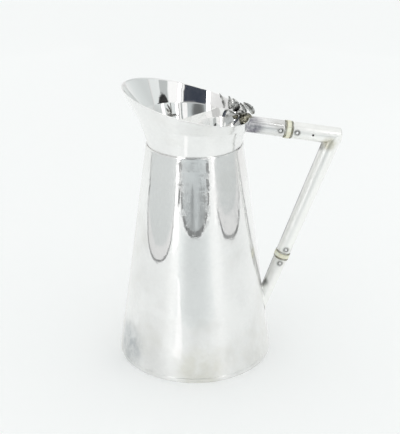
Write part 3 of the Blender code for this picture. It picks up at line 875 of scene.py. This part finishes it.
def cast_silver():
    """Cast silver, bright where fingers rub it and dark in its folds."""
    material, nodes = blank_material("cast_silver_oxidised")
    place = nodes.add("ShaderNodeTexCoord").outputs["Object"]
    grain = nodes.noise(place, 900.0, 4.0, 0.6)
    patch = nodes.noise(place, 330.0, 4.0, 0.65)
    open_share = nodes.add(
        "ShaderNodeAmbientOcclusion", {"Distance": 0.004}, samples=8
    ).outputs["AO"]
    rubbed = nodes.span(open_share, 0.40, 0.97)
    rubbed = nodes.maths("MULTIPLY", rubbed, nodes.span(patch, 0.36, 0.56, 0.22, 1.0))
    height = nodes.add("ShaderNodeSeparateXYZ", {0: place}).outputs["Z"]
    low = nodes.span(height, 181.5 * MM, 184.5 * MM, 1.0, 0.0)
    bright = nodes.blend(low, (0.76, 0.76, 0.74, 1.0), (0.46, 0.44, 0.35, 1.0))
    dark = nodes.blend(low, (0.030, 0.030, 0.028, 1.0), (0.085, 0.080, 0.055, 1.0))
    colour = nodes.blend(rubbed, dark, bright)
    rough = nodes.span(rubbed, 0.0, 1.0, 0.50, 0.20)
    bump = nodes.bump(0.35, 0.0003, grain)
    nodes.surface(nodes.shader(colour, rough, {"Metallic": 1.0, "Normal": bump}))
    return material


def bone():
    """Aged bone: ivory with fine lengthwise grain and dark pores, yellower in soft patches."""
    material, nodes = blank_material("aged_bone")
    place = nodes.add("ShaderNodeTexCoord").outputs["Object"]
    cloud = nodes.noise(place, 220.0, 3.0, 0.5)
    grain = nodes.noise(place, 700.0, 3.0, 0.6, stretch=(0.35, 1.0, 1.0))
    pores = nodes.span(nodes.noise(place, 1500.0, 2.0, 0.5, stretch=(0.3, 1.0, 1.0)), 0.66, 0.74)
    base = nodes.blend(nodes.span(cloud, 0.3, 0.7), (0.89, 0.89, 0.75, 1.0), (0.79, 0.77, 0.61, 1.0))
    lined = nodes.blend(nodes.span(grain, 0.45, 0.7, 0.0, 0.35), base, (0.55, 0.50, 0.34, 1.0))
    colour = nodes.blend(nodes.maths("MULTIPLY", pores, 0.7), lined, (0.16, 0.12, 0.07, 1.0))
    rough = nodes.span(grain, 0.3, 0.7, 0.30, 0.5)
    bump = nodes.bump(0.3, 0.0002, grain)
    depth = {"Subsurface Weight": 0.15, "Subsurface Radius": (0.002, 0.0015, 0.001)}
    nodes.surface(nodes.shader(colour, rough, {"Normal": bump, **depth}))
    return material


SILVER = polished_silver("polished_silver_worn", (0.40, 0.58, 0.66), dull=SOFT, spots=BODY_SPOTS)
MIRROR_SILVER = polished_silver("polished_silver_inside", (0.03, 0.10, 0.66), ripple=0.012)
SOCKET_SILVER = polished_silver(
    "polished_silver_socket", (0.70, 0.92, 0.66), RUBBED, tarnish_from=0.50, spots=HANDLE_SPOTS
)
ARM = {"clear": RUBBED, "grain": 0.2, "clean": CREAM, "tarnish_from": 0.50, "spots": HANDLE_SPOTS}
ARM_SILVER = polished_silver("polished_silver_arm", (0.88, 1.0, 0.94), **ARM)
# The diagonal arm's side towards the body gets painted shade
DIAGONAL_SILVER = polished_silver(
    "polished_silver_diagonal", (0.88, 1.0, 0.94), shaded_side=INNER_SIDE, **ARM
)
# Bands beside the bone rings: olive tarnish, made darker as painted shade of the gaps beside each flange
TARNISHED_AND_SHADED = polished_silver(
    "polished_silver_tarnished_and_shaded", (0.60, 0.80, 0.66), RUBBED, grain=0.2, tarnish_from=0.34, dull=OLIVE
)
CAST_SILVER = cast_silver()
BONE = bone()


# ---------------------------------------------------------------- build


body = make_body()
make_foot_ring()
make_base_plate()
collar = make_collar()


def surface_of(piece):
    """Search tree that finds where a ray meets a piece."""
    mesh = piece.data
    return BVHTree.FromPolygons([v.co for v in mesh.vertices], [list(p.vertices) for p in mesh.polygons])


make_handle(surface_of(collar), surface_of(body))
make_corner_cap()
make_insulator("upper", UPPER_AXIS, upper_radius, UPPER_INSULATOR_STATION)
make_insulator("lower", DIAGONAL_AXIS, diagonal_radius, LOWER_INSULATOR_STATION)
for leaf in LEAVES:
    make_leaf(*leaf)
lumpy("thumb_saddle_cast", "thumbpiece_saddle", SADDLE_CENTRE, SADDLE_RADII, 0.7 * MM)
lumpy("thumb_knot_cast", "thumbpiece_knot", KNOT_CENTRE, KNOT_RADII, 0.4 * MM)
lumpy("thumb_fold_cast", "thumbpiece_saddle", FOLD_CENTRE, FOLD_RADII, 0.5 * MM)
make_twig()


# ---------------------------------------------------------------- studio


TENT_LEFT = -0.34
TENT_RIGHT = 0.42
TENT_FRONT = -0.69
TENT_TOP = 1.35
COOL = (0.955, 1.0, 1.0)
COLD = (0.93, 1.0, 1.02)
NAVY = (0.034, 0.042, 0.062)

CAMERA_PLACE = (-0.03235, -0.61723, 0.38016)
CAMERA_TILT = math.radians(65.986)
CAMERA_TURN = math.radians(-3.347)


def make_camera():
    """Camera that stands in the photographer's place."""
    data = bpy.data.cameras.new("camera")
    data.sensor_fit = "HORIZONTAL"
    data.sensor_width = 36.0
    data.lens = 83.8692
    data.clip_start = 0.01
    data.clip_end = 100.0
    camera = bpy.data.objects.new("camera", data)
    camera.location = CAMERA_PLACE
    camera.rotation_euler = (CAMERA_TILT, 0.0, CAMERA_TURN)
    link(camera)
    bpy.context.scene.camera = camera


def make_floor():
    """Plain pale table that runs to the horizon."""
    mesh = bpy.data.meshes.new("floor")
    shape = bmesh.new()
    bmesh.ops.create_circle(shape, cap_ends=True, segments=96, radius=6.0)
    shape.to_mesh(mesh)
    shape.free()
    floor = bpy.data.objects.new("floor", mesh)
    link(floor)
    material, nodes = blank_material("pale_floor")
    nodes.surface(nodes.shader((0.985, 0.99, 0.99, 1.0), 0.9))
    mesh.materials.append(material)


def stage_card(name, corners, glow, patches=()):
    """Lit panel of the light tent that only shows in reflections.

    corners run round the panel from the bottom; glow lists the (height, colour) stops that it
    passes through going up.  Each patch lays a soft-edged oval of another colour over it:
    (axis that runs along the panel, centre along it, half width, middle height, half height,
    lean, edge, roundness, colour).
    """
    mesh = bpy.data.meshes.new(name)
    mesh.from_pydata(corners, [], [tuple(range(len(corners)))])
    card = bpy.data.objects.new(name, mesh)
    link(card)
    material, nodes = blank_material(name)
    place = nodes.add("ShaderNodeNewGeometry").outputs["Position"]
    place = nodes.add("ShaderNodeSeparateXYZ", {0: place})
    share = nodes.maths("DIVIDE", place.outputs["Z"], TENT_TOP)
    ramp = nodes.add("ShaderNodeValToRGB", {"Fac": share})
    elements = ramp.color_ramp.elements
    while len(elements) < len(glow):
        elements.new(0.5)
    for element, (level, colour) in zip(elements, glow):
        element.position = level / TENT_TOP
        element.color = (*colour, 1.0)
    colour = ramp.outputs["Color"]
    for axis, centre, half_width, middle, half_height, lean, edge, power, tone in patches:
        along = nodes.maths("SUBTRACT", place.outputs[axis], centre)
        rise = nodes.maths("SUBTRACT", place.outputs["Z"], middle)
        rise = nodes.maths("ADD", rise, nodes.maths("MULTIPLY", along, lean))
        across = nodes.maths("ABSOLUTE", nodes.maths("DIVIDE", along, half_width))
        rise = nodes.maths("ABSOLUTE", nodes.maths("DIVIDE", rise, half_height))
        far = nodes.maths("ADD", nodes.maths("POWER", across, power), nodes.maths("POWER", rise, power))
        inside = nodes.span(far, 1.0 - edge, 1.0 + edge, 1.0, 0.0)
        colour = nodes.blend(inside, colour, (*tone, 1.0))
    nodes.surface(nodes.add("ShaderNodeEmission", {"Color": colour, "Strength": 1.0}).outputs[0])
    mesh.materials.append(material)
    card.visible_camera = False
    card.visible_diffuse = False
    card.visible_shadow = False


def wall_card(name, a, b, glow):
    """Upright panel between two points of the table."""
    stage_card(name, [(*a, 0.0), (*b, 0.0), (*b, TENT_TOP), (*a, TENT_TOP)], glow)


def lobed_card(name, a, b, reach, height, layers):
    """Upright panels one behind another, their bottom corners cut away along quarter ellipses.

    Each layer is (bottom edge, growth to both sides, glow, patches).
    """
    a, b = Vector((*a, 0.0)), Vector((*b, 0.0))
    way = (b - a).normalized()
    outwards = ((a + b) / 2).normalized()
    for i, (bottom, grow, glow, patches) in enumerate(layers):
        step = outwards * 0.004 * i + Vector((0.0, 0.0, bottom))
        start, end = a + step - way * grow, b + step + way * grow
        left, right = [], []
        for k in range(13):
            turn = math.radians(7.5 * k)
            lift = Vector((0.0, 0.0, height * (1.0 - math.sin(turn))))
            left.append(start + way * reach * (1.0 - math.cos(turn)) + lift)
            right.append(end - way * reach * (1.0 - math.cos(turn)) + lift)
        top = [Vector((p.x, p.y, TENT_TOP)) for p in (end, start)]
        corners = [tuple(p) for p in left + right[::-1] + top]
        stage_card(f"{name}_{i}", corners, glow, patches)


def grey(level, tint=(1.0, 1.0, 1.0)):
    return tuple(level * t for t in tint)


def stops(*levels, tint=(1.0, 1.0, 1.0)):
    """Stops of a panel's glow from (height, level) pairs."""
    return [(height, grey(level, tint)) for height, level in levels]


def even(level, tint=(1.0, 1.0, 1.0)):
    """Stops of a panel that glows the same all the way up."""
    return [(0.0, grey(level, tint))] * 2


def make_front_panel():
    """Dim panel beyond the camera: the body's middle lobe, and the dark room in the mouth."""
    glow = stops((0.0, 0.29), (0.05, 0.45), (0.085, 0.64), (0.20, 0.49), (0.34, 0.60), tint=COLD)
    glow += [(0.92, grey(0.45)), (0.95, NAVY)]
    outline = stops((0.0, 0.02), (0.34, 0.03), (0.50, 0.30))
    patches = (
        # Dark and bright ovals in the mouth
        ("X", -0.17, 0.20, 0.40, 0.14, 0.0, 0.8, 2.0, grey(0.15, COOL)),
        ("X", 0.23, 0.08, 0.42, 0.20, 0.0, 0.4, 2.0, grey(1.0)),
        # Uneven right edge of the lobe
        ("X", 0.29, 0.035, 0.0, 0.055, 0.0, 0.4, 4.0, grey(0.75)),
        ("X", 0.19, 0.035, 0.02, 0.045, 0.0, 0.5, 4.0, grey(0.17, COOL)),
        ("X", 0.30, 0.040, 0.068, 0.014, 0.0, 0.5, 4.0, grey(0.15, COOL)),
        # Upright stripes low in the lobe
        ("X", -0.10, 0.035, 0.042, 0.028, 0.0, 0.6, 2.0, grey(0.26, COLD)),
        ("X", 0.00, 0.040, 0.034, 0.026, 0.0, 0.6, 2.0, grey(0.52, COLD)),
        ("X", 0.12, 0.060, 0.044, 0.028, 0.0, 0.6, 2.0, grey(0.28, COLD)),
    )
    layers = ((0.013, 0.0, glow, patches), (0.0, 0.024, outline, ()))
    lobed_card("tent_front", (-0.44, TENT_FRONT), (0.335, TENT_FRONT), 0.34, 0.075, layers)


LINE = stops((0.0, 0.02), (0.24, 0.05), (0.42, 0.35))
BAND = stops((0.0, 0.74), (1.0, 0.80))


def make_left_panels():
    """Wall of the left lobe with its dark outline, and the lamp between it and the front."""
    wall = stops((0.0, 0.60), (0.10, 0.70), tint=COOL) + stops((0.25, 0.69), (0.55, 0.80), (1.0, 0.95))
    layers = ((0.024, 0.0, wall, ()), (0.005, 0.0, BAND, ()), (0.0, 0.010, LINE, ()))
    lobed_card("tent_left", (TENT_LEFT, -0.36), (TENT_LEFT, 0.10), 0.21, 0.048, layers)

    # The lobe's far edge leans outwards, with its outline beyond it
    lean = ((0.100, 0.045), (0.111, 0.066), (0.145, 0.080), (0.150, 0.12))
    fill = [(TENT_LEFT - 0.002, y, z) for y, z in lean] + [(TENT_LEFT - 0.002, 0.098, 0.12)]
    rim = [(TENT_LEFT - 0.003, y, z) for y, z in lean]
    rim += [(TENT_LEFT - 0.003, y + 0.022, z) for y, z in reversed(lean)]
    stage_card("tent_left_fill", fill, wall)
    stage_card("tent_left_rim", rim, even(0.02))

    # The lamp's edge is dark for a stretch, which draws the middle lobe's left outline
    edge = stops((0.0, 1.3), (0.052, 1.3), (0.056, 0.01), (0.088, 0.01), (0.098, 0.8))
    edge += stops((0.15, 1.0), (0.26, 3.0), (0.9, 4.5))
    lamp = stops((0.0, 1.3), (0.12, 1.3), (0.2, 3.0), (0.9, 4.5))
    wall_card("tent_left_edge", (TENT_LEFT, -0.53), (TENT_LEFT, -0.458), edge)
    wall_card("tent_left_lamp", (TENT_LEFT, -0.458), (TENT_LEFT, -0.375), lamp)


def make_right_panels():
    """Wall of the right lobe, the softer lamp beside it, and what stands before and beyond."""
    wall = stops((0.0, 0.54), (0.10, 0.64), (0.25, 0.62), (0.36, 0.80), tint=COOL) + stops((1.0, 1.0))
    # Dark and bright shapes that show in the mouth
    patches = (
        ("Y", -0.14, 0.065, 0.52, 0.20, 0.668, 0.15, 4.0, grey(0.53, COOL)),
        ("Y", -0.13, 0.035, 0.31, 0.10, 0.0, 0.2, 4.0, grey(1.2)),
        ("Y", -0.33, 0.012, 0.32, 0.13, 0.0, 0.3, 4.0, grey(0.12)),
        ("Y", -0.112, 0.107, 0.4515, 0.046, 0.668, 0.15, 2.0, grey(0.02)),
        ("Y", -0.40, 0.175, 0.73, 0.21, 0.0, 0.12, 8.0, grey(1.0)),
        ("Y", -0.34, 0.20, 1.14, 0.19, 0.0, 0.15, 8.0, grey(0.62)),
    )
    layers = ((0.034, 0.0, wall, patches), (0.007, 0.02, BAND, ()), (0.0, 0.033, LINE, ()))
    lobed_card("tent_right", (TENT_RIGHT, -0.49), (TENT_RIGHT, 0.05), 0.25, 0.055, layers)

    lamp = stops((0.0, 1.2), (0.06, 0.9), (0.2, 3.0), (1.08, 4.5), (1.16, 0.8))
    corner = stops((0.0, 1.0), (0.10, 1.0), (0.20, 0.60), (1.0, 0.72))
    beyond = stops((0.0, 0.93), (0.16, 0.93))
    beyond += stops((0.28, 0.76), (0.36, 0.66), (0.50, 0.74), tint=COOL) + stops((1.0, 0.95))
    wall_card("tent_right_lamp", (TENT_RIGHT, -0.60), (TENT_RIGHT, -0.505), lamp)
    wall_card("tent_corner", (TENT_RIGHT, -0.685), (TENT_RIGHT, -0.605), corner)
    wall_card("tent_right_beyond", (TENT_RIGHT, 0.07), (0.34, 0.62), beyond)


def make_table_glow():
    """Dimmer stretch of table towards the camera, fading in by steps, and the streak across it."""
    for i, (spread, level) in enumerate(((1.0, 0.89), (0.86, 0.85), (0.72, 0.80), (0.55, 0.76))):
        near = -0.20 - 0.015 * i
        table = [(-0.13, near), (0.10, near), (0.31, -0.68), (-0.38, -0.68)]
        corners = [(-0.012 + (x + 0.012) * spread, y, 0.0005 + 0.0005 * i) for x, y in table]
        stage_card(f"tent_table_{i}", corners, even(level, COOL))

    # Centre and half width of the streak at each bend
    bends = (
        (-0.187, -0.32, 0.016),
        (-0.114, -0.23, 0.015),
        (-0.055, -0.127, 0.013),
        (-0.045, -0.098, 0.010),
    )
    streak = [(x - half, y, 0.003) for x, y, half in bends]
    streak += [(x + half, y, 0.003) for x, y, half in reversed(bends)]
    stage_card("tent_streak", streak, even(1.15))


def make_back_panels():
    glow = stops((0.0, 0.80), (0.03, 0.62), (0.30, 0.78), (0.9, 0.95))
    wall_card("tent_back_left", (-0.55, 0.75), (-0.12, 0.95), glow)
    wall_card("tent_back_right", (0.20, 0.95), (0.62, 0.70), glow)


def make_world():
    """Even pale surroundings, as light as the table."""
    world = bpy.data.worlds.new("studio")
    bpy.context.scene.world = world
    world.use_nodes = True
    background = world.node_tree.nodes["Background"]
    background.inputs["Color"].default_value = (0.935, 0.952, 0.947, 1.0)
    background.inputs["Strength"].default_value = 1.0


make_camera()
make_floor()
make_front_panel()
make_left_panels()
make_right_panels()
make_table_glow()
make_back_panels()
make_world()
bpy.context.scene.view_settings.view_transform = "Standard"
